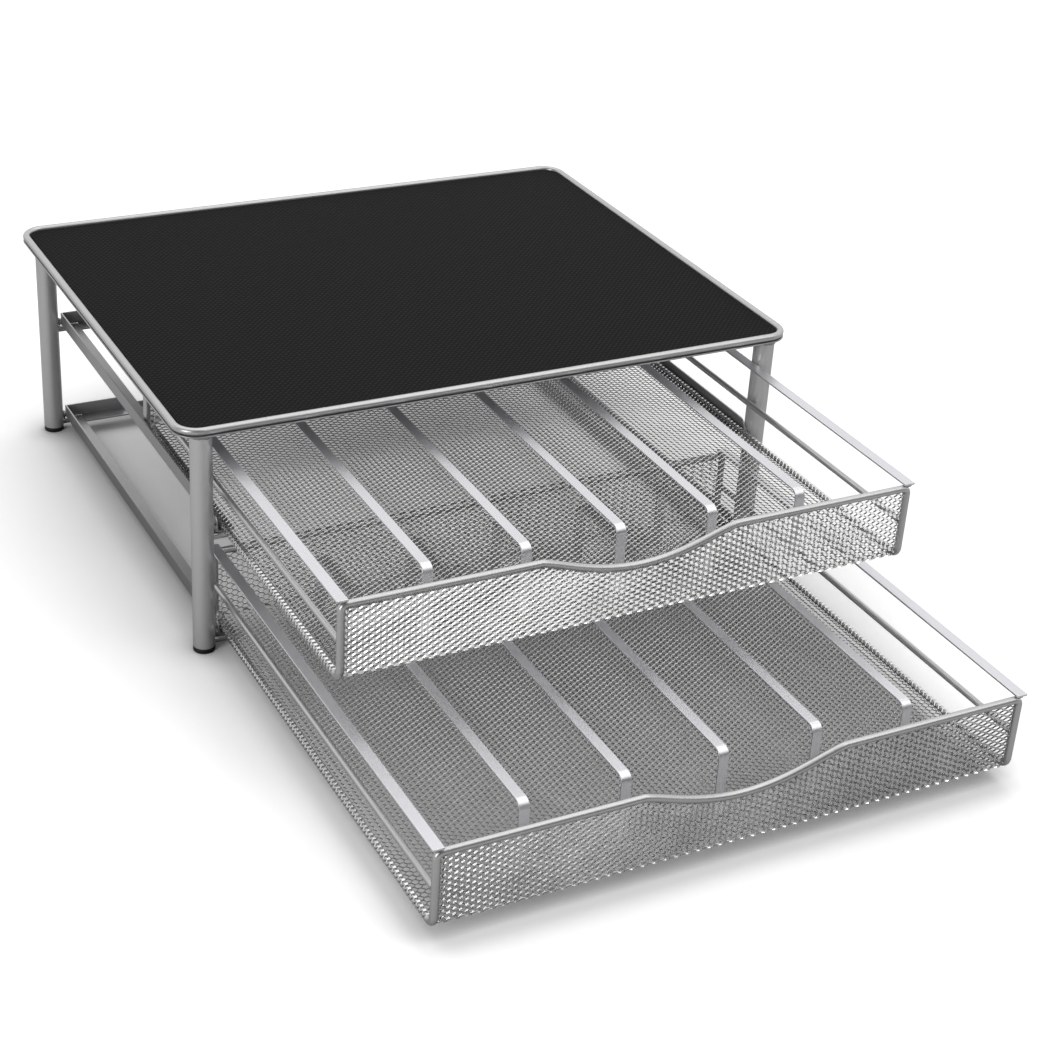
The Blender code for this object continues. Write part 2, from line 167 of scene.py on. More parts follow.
# Painted shade: wide occlusion darkens the table's colour for bounce light and dims its glow
painted_shadow_wide = nodes.maths("POWER", wide, SHADOW_FALL)
painted_shade_share = camera_ray + painted_shadow_wide * (1 - camera_ray) * TABLE_BOUNCE
nodes.blend(painted_shade_share, TABLE_SHADE, TABLE_WHITE).feed(surface, "Base Color")
table_place = nodes.node("TexCoord", output="Object")
distance = nodes.node("VectorMath", {"operation": "LENGTH"}, {0: table_place}, output="Value")
far = nodes.node("MapRange", inputs={"Value": distance, "From Min": TABLE_FAR_FROM,
                                     "From Max": TABLE_FAR_TO, "To Min": TABLE_LIFT,
                                     "To Max": TABLE_LIFT + TABLE_FAR_LIFT})
# Painted shadow: the glow fades where something is close above the table
glow_with_painted_shadow = seen * nodes.maths("POWER", near, SHADOW_FALL) * painted_shadow_wide * far
glow_with_painted_shadow.feed(surface, "Emission Strength")

clear()
bpy.ops.mesh.primitive_plane_add(size=TABLE_SIZE)
table = bpy.context.object
table.name = "table"
table.data.materials.append(table_white)

surround = bpy.data.worlds.new("surround")
bpy.context.scene.world = surround
surround.use_nodes = True
nodes = Shade(surround.node_tree)
surround_light = surround.node_tree.nodes["Background"]
surround_light.inputs["Color"].default_value = (1, 1, 1, 1)
camera_ray = nodes.node("LightPath", output="Is Camera Ray")
glossy_ray = nodes.node("LightPath", output="Is Glossy Ray")
glass_ray = nodes.node("LightPath", output="Is Transmission Ray")
mirrored = nodes.maths("MAXIMUM", glossy_ray, glass_ray)
way = nodes.node("TexCoord", output="Generated")
backward = nodes.node("VectorMath", {"operation": "DOT_PRODUCT"}, {0: way, 1: SURROUND_BACKWARD},
                      output="Value")
white = nodes.node("MapRange", {"interpolation_type": "SMOOTHSTEP"},
                   {"Value": backward, "From Min": SURROUND_FADE_FROM,
                    "From Max": SURROUND_FADE_TO, "To Min": SURROUND_FRONT, "To Max": 1.0})
strength = nodes.maths("MAXIMUM", SURROUND_LIGHT + mirrored * (white - SURROUND_LIGHT), camera_ray)
strength.feed(surround_light, "Strength")


def soft_lamp(name, place, width, power):
    """A square soft lamp that faces the middle of the stand."""
    clear()
    aim = Vector(LAMP_AIM) - Vector(place)
    bpy.ops.object.light_add(type="AREA", location=place,
                             rotation=aim.to_track_quat("-Z", "Y").to_euler())
    lamp = bpy.context.object
    lamp.name = name
    lamp.data.shape = "SQUARE"
    lamp.data.size = width
    lamp.data.energy = power


soft_lamp("top_lamp", TOP_LAMP_PLACE, TOP_LAMP_WIDTH, TOP_LAMP_POWER)
soft_lamp("front_lamp", FRONT_LAMP_PLACE, FRONT_LAMP_WIDTH, FRONT_LAMP_POWER)
soft_lamp("side_lamp", SIDE_LAMP_PLACE, SIDE_LAMP_WIDTH, SIDE_LAMP_POWER)
bpy.context.scene.view_settings.view_transform = "Standard"


# Rim of the top
# One round steel wire, bent at four corners and welded to the edge of the top sheet, then
# painted silver. The paint is a satin lacquer with fine metal flake.
SILVER = (0.66, 0.66, 0.655)
SILVER_SHADE = (0.52, 0.52, 0.52)
FLAKE_SCALE = 2600.0
BLOTCH_AND_SHEEN_SCALE = 38.0
PEEL_SCALE = 900.0
RIM_CORNER = 0.014
CORNER_SEGMENTS = 12
BEND_SEGMENTS = 8
WIRE_ROUND = 6
ROUND_SMOOTH = math.radians(40)
SAME_PLACE = 1e-5
MODES = {"verts": "VERT", "edges": "EDGE", "faces": "FACE"}


def choose(kind, fits):
    """In edit mode, selects only what fits a test of its middle and the way it faces."""
    bpy.ops.mesh.select_mode(type=MODES[kind])
    bpy.ops.mesh.select_all(action="DESELECT")
    edited = bmesh.from_edit_mesh(bpy.context.object.data)
    for item in getattr(edited, kind):
        points = [item.co] if kind == "verts" else [corner.co for corner in item.verts]
        facing = None if kind == "edges" else item.normal
        if fits(sum(points, Vector()) / len(points), facing):
            item.select_set(True)
    edited.select_flush_mode()
    bmesh.update_edit_mesh(bpy.context.object.data)


def choose_all():
    bpy.ops.mesh.select_all(action="SELECT")


def edit():
    bpy.ops.object.mode_set(mode="EDIT")


def done():
    bpy.ops.object.mode_set(mode="OBJECT")


def pull(way):
    """Extrudes what is selected by a given way."""
    bpy.ops.mesh.extrude_region_move(TRANSFORM_OT_translate={"value": way})


def face_out():
    """Turns every face of the mesh being edited outwards."""
    choose_all()
    bpy.ops.mesh.normals_make_consistent(inside=False)


def apply(kind, **settings):
    """Adds a modifier to the piece at hand and applies it."""
    made = bpy.context.object.modifiers.new(kind.lower(), kind)
    for name, value in settings.items():
        setattr(made, name, value)
    bpy.ops.object.modifier_apply(modifier=made.name)


def settle(size):
    """Scales the piece at hand and settles its size and place in its mesh."""
    bpy.context.object.scale = size
    bpy.ops.object.transform_apply(location=True, rotation=False, scale=True)


def fit_piece(name, look, body, slot, *nodes):
    """Names the piece at hand, settles its place in its mesh and ties it to the frame."""
    piece = bpy.context.object
    clear()
    piece.select_set(True)
    bpy.ops.object.transform_apply(location=True, rotation=True, scale=True)
    piece.name = name
    piece.data.name = name
    piece.data.materials.clear()
    piece.data.materials.append(look)
    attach(piece, body)
    if nodes:
        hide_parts(*nodes)


def smooth():
    """Rounds stay smooth, flat faces stay flat and real edges stay sharp."""
    bpy.ops.object.shade_smooth_by_angle(angle=ROUND_SMOOTH)
    apply("WEIGHTED_NORMAL", keep_sharp=True)


def start_run(place):
    """A plane is merged to one point, from which a run of edges can be pulled out."""
    clear()
    bpy.ops.mesh.primitive_plane_add(size=0.01)
    edit()
    bpy.ops.mesh.select_mode(type="VERT")
    choose_all()
    bpy.ops.mesh.merge(type="CENTER")
    bpy.ops.transform.translate(value=place)


def bent_wire(corners, radii, diameter):
    """A wire is pulled out corner by corner, its bends are rounded and it gets its round."""
    corners = [Vector(corner) for corner in corners]
    start_run(corners[0])
    for here, there in zip(corners, corners[1:]):
        pull(there - here)
    for corner, radius in zip(corners[1:-1], radii):
        if radius:
            choose("verts", lambda place, facing: (place - corner).length < SAME_PLACE)
            bpy.ops.mesh.bevel(affect="VERTICES", offset=radius, segments=BEND_SEGMENTS)
    done()
    thicken_run(diameter)


def thicken_run(diameter):
    """Turns a run of edges into a round wire of a given diameter."""
    bpy.ops.object.convert(target="CURVE")
    run = bpy.context.object.data
    run.bevel_depth = diameter / 2
    run.bevel_resolution = WIRE_ROUND
    run.use_fill_caps = True
    bpy.ops.object.convert(target="MESH")
    smooth()


def silver_paint(name, light, dark, roughness, metallic, blotch_and_sheen_amount=0.5, sheen_stretch=(1, 1, 1)):
    """Silver lacquer: flake and slow blotches in the colour, and a faint orange peel."""
    look, nodes, surface = bare_look(name)
    place = nodes.node("TexCoord", output="Object")
    flake = nodes.node("TexNoise", inputs={"Vector": place, "Scale": FLAKE_SCALE, "Detail": 1.0})
    blotch_and_sheen_place = nodes.node("Mapping", inputs={"Vector": place, "Scale": sheen_stretch})
    blotch_and_sheen = nodes.node("TexNoise",
                      inputs={"Vector": blotch_and_sheen_place, "Scale": BLOTCH_AND_SHEEN_SCALE, "Detail": 3.0})
    peel = nodes.node("TexNoise", inputs={"Vector": place, "Scale": PEEL_SCALE, "Detail": 2.0})
    # Strong, stretched blotches are painted reflections; mild ones vary the paint at random
    share = flake * 0.7 + (blotch_and_sheen - 0.5) * blotch_and_sheen_amount + 0.15
    nodes.blend(share, (*dark, 1), (*light, 1)).feed(surface, "Base Color")
    wear = roughness - 0.05 + blotch_and_sheen * 0.10
    wear.feed(surface, "Roughness")
    relief = nodes.node("Bump", inputs={"Strength": 0.25, "Distance": 0.0001, "Height": peel})
    relief.feed(surface, "Normal")
    surface.inputs["Metallic"].default_value = metallic
    return look


wire_silver = silver_paint("wire_silver", SILVER, SILVER_SHADE, roughness=0.34, metallic=0.75)


def blank(x_from, x_to, y_from, y_to, z):
    """A flat piece that isn't bent or thickened yet, still being edited."""
    clear()
    bpy.ops.mesh.primitive_plane_add(size=1,
                                     location=((x_from + x_to) / 2, (y_from + y_to) / 2, z))
    settle((abs(x_to - x_from), y_to - y_from, 1))
    edit()


def rounded_blank(low, high, z, corner):
    """A flat piece with rounded corners, still being edited and selected all over."""
    blank(low.x, high.x, low.y, high.y, z)
    choose_all()
    bpy.ops.mesh.bevel(affect="VERTICES", offset=corner, segments=CORNER_SEGMENTS)
    choose_all()


rim_low, rim_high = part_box("top_rim_wire")
rim_wire = rim_high.z - rim_low.z
rim_inset = Vector((rim_wire / 2, rim_wire / 2, 0))
rounded_blank(rim_low + rim_inset, rim_high - rim_inset, (rim_low.z + rim_high.z) / 2,
              RIM_CORNER - rim_wire / 2)
bpy.ops.mesh.delete(type="ONLY_FACE")
done()
thicken_run(rim_wire)
fit_piece("rim", wire_silver, "stand", "wire", "top_rim_wire")


# Top sheet
# A thin painted steel sheet under the rim wire. Its edge shows as a fine light lip below
# the wire, with a dark line between them.
SHEET_SILVER = (0.50, 0.50, 0.51)
SHEET_SHADE = (0.43, 0.43, 0.44)
SHEET_EDGE = 0.0003
SHARP_ANGLE = math.radians(60)

sheet_silver = silver_paint("sheet_silver", SHEET_SILVER, SHEET_SHADE,
                            roughness=0.36, metallic=0.70)


def soften(width, segments):
    """Rounds off the sharp edges of the piece at hand."""
    apply("BEVEL", width=width, segments=segments, limit_method="ANGLE", angle_limit=SHARP_ANGLE)
    smooth()


def rounded_slab(low, high, corner, edge):
    """A sheet with rounded corners, pushed up to its thickness, with softened edges."""
    rounded_blank(low, high, low.z, corner)
    pull((0, 0, high.z - low.z))
    face_out()
    done()
    soften(edge, 3)


plate_low, plate_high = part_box("top_plate")
rounded_slab(plate_low, plate_high, RIM_CORNER, SHEET_EDGE)
fit_piece("top_sheet", sheet_silver, "stand", "sheet", "top_plate")


# Mat
# A black rubber mat lies loose inside the rim wire. Its face is pressed all over with a
# fine basket of short slanting ribs, so that a coffee machine doesn't slide.
MAT_BLACK = (0.009, 0.009, 0.0092)
MAT_WORN_AND_RIB_SHEEN = (0.028, 0.028, 0.029)
MAT_ROUGHNESS = 0.72
MAT_GLOSS = 0.08
MAT_ROW = 0.0024
MAT_DASH = 0.0034
MAT_DIAGONAL = math.radians(45)
MAT_EDGE = 0.0006

mat_rubber, nodes, surface = bare_look("mat_rubber")
mat_place = nodes.node("TexCoord", output="Object")
turned = nodes.node("Mapping", inputs={"Vector": mat_place, "Rotation": (0, 0, -MAT_DIAGONAL)})
along = nodes.node("SeparateXYZ", inputs={"Vector": turned}, output="X")
across = nodes.node("SeparateXYZ", inputs={"Vector": turned}, output="Y")
rows = nodes.maths("SINE", across * (2 * math.pi / MAT_ROW))
dashes = nodes.maths("SINE", along * (2 * math.pi / MAT_DASH) + across * (math.pi / MAT_ROW))
pressed = nodes.maths("MAXIMUM", rows * 0.6 + dashes * 0.4, 0.0)
grain = nodes.node("TexNoise", inputs={"Vector": mat_place, "Scale": 1500.0, "Detail": 2.0})
dust = nodes.node("TexNoise", inputs={"Vector": mat_place, "Scale": 14.0, "Detail": 3.0})
# The raised ribs are painted lighter, a painted highlight on their tops; grain and dust vary it
# too
mat_sheen_and_wear = pressed + grain * 0.3 + dust * 0.15 - 0.1
nodes.blend(mat_sheen_and_wear, (*MAT_BLACK, 1), (*MAT_WORN_AND_RIB_SHEEN, 1)).feed(surface, "Base Color")
mat_relief = nodes.node("Bump", inputs={"Strength": 0.7, "Distance": 0.0003,
                                        "Height": pressed + grain * 0.3})
mat_relief.feed(surface, "Normal")
surface.inputs["Roughness"].default_value = MAT_ROUGHNESS
surface.inputs["Specular IOR Level"].default_value = MAT_GLOSS

mat_low, mat_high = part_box("top_mat")
rounded_slab(mat_low, mat_high, RIM_CORNER - rim_wire, MAT_EDGE)
fit_piece("mat", mat_rubber, "stand", "mat", "top_mat")


# Legs
# Four round steel tubes, open at the foot and welded to the underside of the top sheet.
# They are painted with the rest of the stand.
LEG_WALL = 0.0012
LEG_SIDES = 64
LEG_EDGE = 0.00025
LEG_SILVER = (0.80, 0.80, 0.80)
LEG_SHADE = (0.68, 0.68, 0.685)
CORNERS = ("front_left", "front_right", "rear_left", "rear_right")

leg_silver = silver_paint("leg_silver", LEG_SILVER, LEG_SHADE, roughness=0.38, metallic=0.50)


def turned_post(low, high, radius):
    """A round post between two levels, at the middle of a box."""
    clear()
    bpy.ops.mesh.primitive_cylinder_add(vertices=LEG_SIDES, radius=radius, depth=high.z - low.z,
                                        location=(low + high) / 2)
    settle((1, 1, 1))


for corner in CORNERS:
    low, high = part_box("leg_" + corner)
    middle = (low + high) / 2
    leg_radius = (high.x - low.x) / 2
    turned_post(low, high, leg_radius)
    edit()
    choose("faces", lambda place, facing: abs(facing.z) > 0.9)
    bpy.ops.mesh.inset(thickness=LEG_WALL)
    bpy.ops.mesh.delete(type="FACE")
    choose("edges", lambda place, facing: abs(place.z - middle.z) > (high.z - low.z) * 0.49
           and (place.xy - middle.xy).length < leg_radius - LEG_WALL / 2)
    bpy.ops.mesh.bridge_edge_loops()
    face_out()
    done()
    soften(LEG_EDGE, 2)
    fit_piece("leg_tube_" + corner, leg_silver, "stand", "leg", "leg_" + corner)


# Weld seams at the leg tops
# A small bead of weld runs round each leg where it meets the sheet. The paint over it is
# rougher and a little darker.
WELD_SILVER = (0.46, 0.46, 0.44)
WELD_SHADE = (0.30, 0.30, 0.29)
WELD_BEAD = 0.0009
WELD_GRAIN = 0.0016

weld_silver = silver_paint("weld_silver", WELD_SILVER, WELD_SHADE, roughness=0.45, metallic=0.55)


def roughen(step, size, seed):
    """Moves each point of the piece at hand along its normal by a fixed uneven amount."""
    mesh = bpy.context.object.data
    for corner in mesh.vertices:
        lump = noise.noise(corner.co / size + Vector((seed, 0, 0)))
        corner.co += corner.normal * lump * step


for number, corner in enumerate(CORNERS):
    low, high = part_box("leg_" + corner)
    middle = (low + high) / 2
    clear()
    bpy.ops.mesh.primitive_torus_add(location=(middle.x, middle.y, high.z - WELD_BEAD * 0.4),
                                     major_radius=(high.x - low.x) / 2, minor_radius=WELD_BEAD,
                                     major_segments=72, minor_segments=12)
    settle((1, 1, 1))
    roughen(WELD_BEAD * 0.5, WELD_GRAIN, 3.7 * number)
    bpy.ops.object.shade_smooth()
    fit_piece("leg_weld_" + corner, weld_silver, "stand", "wire")


# Feet
# Black rubber caps with a stem pressed into the tube. Only a thin ring with a rounded
# edge shows under the leg.
FOOT_BLACK = (0.008, 0.008, 0.008, 1)
FOOT_WORN = (0.022, 0.022, 0.022, 1)
FOOT_ROUGHNESS = 0.5
FOOT_STEM = 0.009
FOOT_EDGE = 0.0005

foot_rubber, nodes, surface = bare_look("foot_rubber")
foot_place = nodes.node("TexCoord", output="Object")
foot_grain = nodes.node("TexNoise", inputs={"Vector": foot_place, "Scale": 700.0, "Detail": 3.0})
nodes.blend(foot_grain, FOOT_BLACK, FOOT_WORN).feed(surface, "Base Color")
foot_relief = nodes.node("Bump",
                         inputs={"Strength": 0.4, "Distance": 0.0001, "Height": foot_grain})
foot_relief.feed(surface, "Normal")
surface.inputs["Roughness"].default_value = FOOT_ROUGHNESS

for corner in CORNERS:
    low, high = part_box("foot_" + corner)
    shoulder = Vector((high.x, high.y, high.z - FOOT_STEM))
    turned_post(low, shoulder, (high.x - low.x) / 2)
    edit()
    choose("faces", lambda place, facing: facing.z > 0.9)
    bpy.ops.mesh.inset(thickness=LEG_WALL * 1.25)
    pull((0, 0, FOOT_STEM))
    done()
    soften(FOOT_EDGE, 3)
    fit_piece("foot_cap_" + corner, foot_rubber, "stand", "foot", "foot_" + corner)


# Runners
# Four angles of folded sheet steel on which the drawers slide: an upright web with a
# rounded nose at the front, and a flange that carries the drawer's bottom wire.
SHEET = 0.001
CUT_EDGE = 0.00015
RUNNER_NOSE = 0.006
FOLD = 0.0012
FOLD_SEGMENTS = 5
LEVELS = ("upper", "lower")
SIDES = (("left", -1), ("right", 1))


def harden_sheet():
    """Gives folded faces the thickness of sheet steel, even on both sides, and cut edges."""
    apply("SOLIDIFY", thickness=SHEET, offset=0, use_even_offset=True)
    soften(CUT_EDGE, 2)


for level in LEVELS:
    for side_name, side in SIDES:
        rail = "rail_" + level + "_" + side_name
        low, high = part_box(rail)
        web_x = high.x - SHEET / 2 if side > 0 else low.x + SHEET / 2
        tip_x = low.x if side > 0 else high.x
        flange_z = low.z + SHEET / 2
        blank(web_x, tip_x, low.y, high.y, flange_z)
        choose("edges", lambda place, facing: abs(place.x - web_x) < SAME_PLACE)
        pull((0, 0, high.z - flange_z))
        choose("verts", lambda place, facing: place.z > high.z - SAME_PLACE
               and place.y < low.y + SAME_PLACE)
        bpy.ops.mesh.bevel(affect="VERTICES", offset=RUNNER_NOSE, segments=BEND_SEGMENTS)
        choose("edges", lambda place, facing: abs(place.x - web_x) < SAME_PLACE
               and place.z < flange_z + SAME_PLACE)
        bpy.ops.mesh.bevel(affect="EDGES", offset=FOLD, segments=FOLD_SEGMENTS)
        done()
        harden_sheet()
        fit_piece("runner_" + level + "_" + side_name, sheet_silver, "stand", "sheet", rail)


# Rear tie bars
# A folded bar joins each pair of runners at the rear. Its web stands tall at both ends,
# where it is welded to the runners, and is low in between.
TALL_WIDTH = 0.036
LOW_HEIGHT = 0.004
TIE_FOLD = 0.0006
WELD_GAP = 0.0003

for level in LEVELS:
    low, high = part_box("rear_bar_" + level)
    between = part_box("rail_" + level + "_right")[0].x - WELD_GAP
    half = high.x
    web_y = high.y - SHEET / 2
    flange_z = low.z + SHEET / 2
    web_foot = low.z + SHEET + WELD_GAP
    low_top = low.z + LOW_HEIGHT
    blank(-between, between, low.y, web_y, flange_z)
    for cut in (half - TALL_WIDTH, TALL_WIDTH - half):
        choose_all()
        bpy.ops.mesh.bisect(plane_co=(cut, 0, 0), plane_no=(1, 0, 0))
    choose("edges", lambda place, facing: abs(place.y - web_y) < SAME_PLACE)
    pull((0, 0, web_foot - flange_z))
    pull((0, 0, low_top - web_foot))
    for side in (1, -1):
        choose("edges", lambda place, facing: place.x * side > between - SAME_PLACE
               and place.z > web_foot + SAME_PLACE)
        pull((side * (half - between), 0, 0))
    choose("edges", lambda place, facing: abs(place.x) > half - TALL_WIDTH
           and place.z > low_top - SAME_PLACE)
    pull((0, 0, high.z - low_top))
    choose("edges", lambda place, facing: abs(place.y - web_y) < SAME_PLACE
           and place.z < flange_z + SAME_PLACE)
    bpy.ops.mesh.bevel(affect="EDGES", offset=TIE_FOLD, segments=FOLD_SEGMENTS)
    done()
    harden_sheet()
    fit_piece("tie_bar_" + level, sheet_silver, "stand", "sheet", "rear_bar_" + level)


# Runner pins
# A short pin through each leg carries the runner's flange, and a lump of weld holds the
# runner's web to the leg just above it.
PIN_EDGE = 0.0006
LUMP = 0.0024
LUMP_BITE = 0.0008
LUMP_STEP = 0.0007
LUMP_GRAIN = 0.0014


def weld_lump(name, body, place, size, step, grain, seed):
    """A ball pressed to a lump of a given size, with an uneven face."""
    clear()
    bpy.ops.mesh.primitive_ico_sphere_add(subdivisions=4, radius=1, location=place)
    settle(size)
    roughen(step, grain, seed)
    bpy.ops.object.shade_smooth()
    fit_piece(name, weld_silver, body, "wire")


for level in LEVELS:
    for number, corner in enumerate(CORNERS):
        stud = "stud_" + level + "_" + corner
        low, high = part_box(stud)
        clear()
        bpy.ops.mesh.primitive_cylinder_add(vertices=32, radius=(high.z - low.z) / 2,
                                            depth=high.x - low.x, location=(low + high) / 2,
                                            rotation=(0, math.radians(90), 0))
        soften(PIN_EDGE, 4)
        fit_piece("pin_" + level + "_" + corner, wire_silver, "stand", "wire", stud)

        leg_low, leg_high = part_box("leg_" + corner)
        rail_low, rail_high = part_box("rail_" + level + "_" + corner.split("_")[1])
        web_x, leg_x = (rail_high.x, leg_low.x) if high.x > 0 else (rail_low.x, leg_high.x)
        weld_lump("pin_weld_" + level + "_" + corner, "stand",
                  ((web_x + leg_x) / 2, (low.y + high.y) / 2, rail_low.z + LUMP),
                  (abs(web_x - leg_x) / 2 + LUMP_BITE, LUMP * 0.9, LUMP),
                  LUMP_STEP, LUMP_GRAIN, 5.1 * number + (40 if level == "upper" else 0))


# Drawer wires
# Each drawer hangs on bent round wire: a hoop with a finger dip at the front, a plain
# hoop at the rear, a bottom wire along each side and a thinner one half way up.
HOOP_WIRE = 0.004
HOOP_FOOT = 0.006
BOTTOM_BEND = 0.005
TOP_BEND = 0.003
DIP_WIDTH = 0.110
DIP_DEPTH = 0.012
DIP_ROUNDING = 1.3
DIP_STEPS = 40
CORE_WIRE = 0.0026
WIRE_BITE = 0.0004


def dip(x):
    """How far the front of a drawer dips at a place across it."""
    share = max(0, 1 - (2 * x / DIP_WIDTH) ** 2)
    return DIP_DEPTH * share ** DIP_ROUNDING


class Drawer:
    """Where the parts of one drawer lie, read from its front and rear wires."""

    def __init__(self, level):
        low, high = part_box(level + "_front_wire")
        rear_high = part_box(level + "_rear_wire")[1]
        self.level = level
        self.body = level + "_drawer"
        self.radius = HOOP_WIRE / 2
        self.half = high.x - self.radius
        self.front = low.y + self.radius
        self.rear = rear_high.y - self.radius
        self.bottom = low.z + self.radius
        self.top = high.z - self.radius

    def name(self, piece):
        return self.level + "_" + piece

    def fit(self, name, look, slot, *nodes):
        """Ties the piece at hand to this drawer, in place of some of its nodes."""
        fit_piece(self.name(name), look, self.body, slot, *[self.name(node) for node in nodes])


drawers = [Drawer(level) for level in LEVELS]

for drawer in drawers:
    half, front, rear = drawer.half, drawer.front, drawer.rear
    bottom, top = drawer.bottom, drawer.top
    corners = [(-half, front + HOOP_FOOT, bottom), (-half, front, bottom), (-half, front, top),
               (-DIP_WIDTH / 2, front, top)]
    radii = [BOTTOM_BEND, TOP_BEND, 0]
    for step in range(1, DIP_STEPS):
        x = DIP_WIDTH * (step / DIP_STEPS - 0.5)
        corners.append((x, front, top - dip(x)))
        radii.append(0)
    corners += [(-x, y, z) for x, y, z in corners[3::-1]]
    radii += [0, TOP_BEND, BOTTOM_BEND]
    bent_wire(corners, radii, HOOP_WIRE)
    drawer.fit("front_hoop", wire_silver, "wire", "front_wire")

    corners = [(-half, rear - HOOP_FOOT, bottom), (-half, rear, bottom), (-half, rear, top),
               (half, rear, top), (half, rear, bottom), (half, rear - HOOP_FOOT, bottom)]
    bent_wire(corners, [BOTTOM_BEND, TOP_BEND, TOP_BEND, BOTTOM_BEND], HOOP_WIRE)
    drawer.fit("rear_hoop", wire_silver, "wire", "rear_wire")

    for side_name, side in SIDES:
        low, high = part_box(drawer.name("bottom_wire_" + side_name))
        bent_wire([(side * half, low.y - WIRE_BITE, bottom),
                   (side * half, high.y + WIRE_BITE, bottom)], [], CORE_WIRE)
        drawer.fit("bottom_core_" + side_name, wire_silver, "wire", "bottom_wire_" + side_name)
        low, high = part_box(drawer.name("side_wire_" + side_name))
        middle = (low + high) / 2
        bent_wire([(middle.x, low.y - WIRE_BITE, middle.z),
                   (middle.x, high.y + WIRE_BITE, middle.z)], [], high.z - low.z)
        drawer.fit("side_rod_" + side_name, wire_silver, "wire", "side_wire_" + side_name)


# Flat bars
# A flat bar lies over each side of a drawer, and five more are folded into low arches
# that part the rows of capsules. All have rounded edges from the rolling mill.
BAR_SILVER = (0.84, 0.84, 0.87)
BAR_SHADE = (0.72, 0.72, 0.75)
STRIPS = 5
STRIP_THICKNESS = 0.0012
STRIP_BEND = 0.0044
ROLLED_EDGE = 0.0003

bar_silver = silver_paint("bar_silver", BAR_SILVER, BAR_SHADE, roughness=0.34, metallic=0.80)


def flat_strip(run, bends, width, thickness):
    """A flat bar along a run in a plane of constant X: an edge pulled along, then thickened."""
    run = [Vector(point) for point in run]
    start_run(run[0] - Vector((width / 2, 0, 0)))
    pull((width, 0, 0))
    bpy.ops.mesh.select_mode(type="EDGE")
    choose_all()
    for here, there in zip(run, run[1:]):
        pull(there - here)
    for corner in run[1:-1]:
        choose("edges", lambda place, facing: (place - corner).length < SAME_PLACE)
        bpy.ops.mesh.bevel(affect="EDGES", offset=bends, segments=BEND_SEGMENTS)
    done()
    apply("SOLIDIFY", thickness=thickness, offset=0, use_even_offset=True)
    soften(ROLLED_EDGE, 3)


for drawer in drawers:
    for side_name, side in SIDES:
        low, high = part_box(drawer.name("top_bar_" + side_name))
        middle = (low + high) / 2
        flat_strip([(middle.x, low.y, middle.z), (middle.x, high.y, middle.z)], 0,
                   high.x - low.x, high.z - low.z)
        drawer.fit("side_bar_" + side_name, bar_silver, "bar", "top_bar_" + side_name)
    for number in range(1, STRIPS + 1):
        low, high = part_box(drawer.name("divider_" + str(number)))
        front, rear = low.y + STRIP_THICKNESS / 2, high.y - STRIP_THICKNESS / 2
        over = high.z - STRIP_THICKNESS / 2
        middle = (low.x + high.x) / 2
        flat_strip([(middle, front, low.z), (middle, front, over), (middle, rear, over),
                    (middle, rear, low.z)], STRIP_BEND, high.x - low.x, STRIP_THICKNESS)
        drawer.fit("strip_" + str(number), bar_silver, "bar", "divider_" + str(number))


# Weld lumps on the drawers
# Spot welds hold the flat bars to the hoops and the side rods to the hoops' uprights.
# They are painted over with the rest.
BAR_LUMP = (0.0021, 0.0021, 0.0011)
BAR_LUMP_OVER_HOOP = 0.0018
BAR_LUMP_INSET = 0.0004
ROD_LUMP = (0.0015, 0.0016, 0.0022)
ROD_LUMP_INSET = 0.0018
SPOT_STEP = 0.0005
SPOT_GRAIN = 0.0012

for drawer in drawers:
    spots = (("bar", drawer.top + BAR_LUMP_OVER_HOOP, BAR_LUMP, BAR_LUMP_INSET),
             ("rod", (drawer.top + drawer.bottom) / 2, ROD_LUMP, ROD_LUMP_INSET))
    for side_name, side in SIDES:
        for end_name, y, inward in (("front", drawer.front, 1), ("rear", drawer.rear, -1)):
            for spot, z, size, inset in spots:
                weld_lump(drawer.name("_".join((end_name, spot, "weld", side_name))), drawer.body,
                          (side * drawer.half, y + inward * inset, z), size,
                          SPOT_STEP, SPOT_GRAIN, 7.3 * side + z * 900 + y * 300)


# Expanded metal
# The floor, front and rear of a drawer are one sheet of expanded metal: rows of slit and
# stretched strands that lean out of the sheet and join in short bonds. It is folded up at
# the front and rear, welded under the hoops and rolled round the bottom wires.
MESH_SILVER = (0.84, 0.84, 0.83)
MESH_SHADE = (0.49, 0.49, 0.49)
DIAMOND_LONG = 0.0060
DIAMOND_SHORT = 0.0033
STRAND_WIDTH = 0.00078
STRAND_THICKNESS = 0.00042
STRAND_LEAN = math.radians(38)
BOND_LENGTH = 0.0016
HALF_FOLD = 45
HEM_BITE = 0.2
HEM_FLATTEN = 0.3

# Its strong blotches, stretched front to back, are painted reflections of the buckled sheet
mesh_silver = silver_paint("mesh_silver", MESH_SILVER, MESH_SHADE, roughness=0.26,
                           metallic=0.98, blotch_and_sheen_amount=1.1, sheen_stretch=(1.0, 0.35, 1.0))


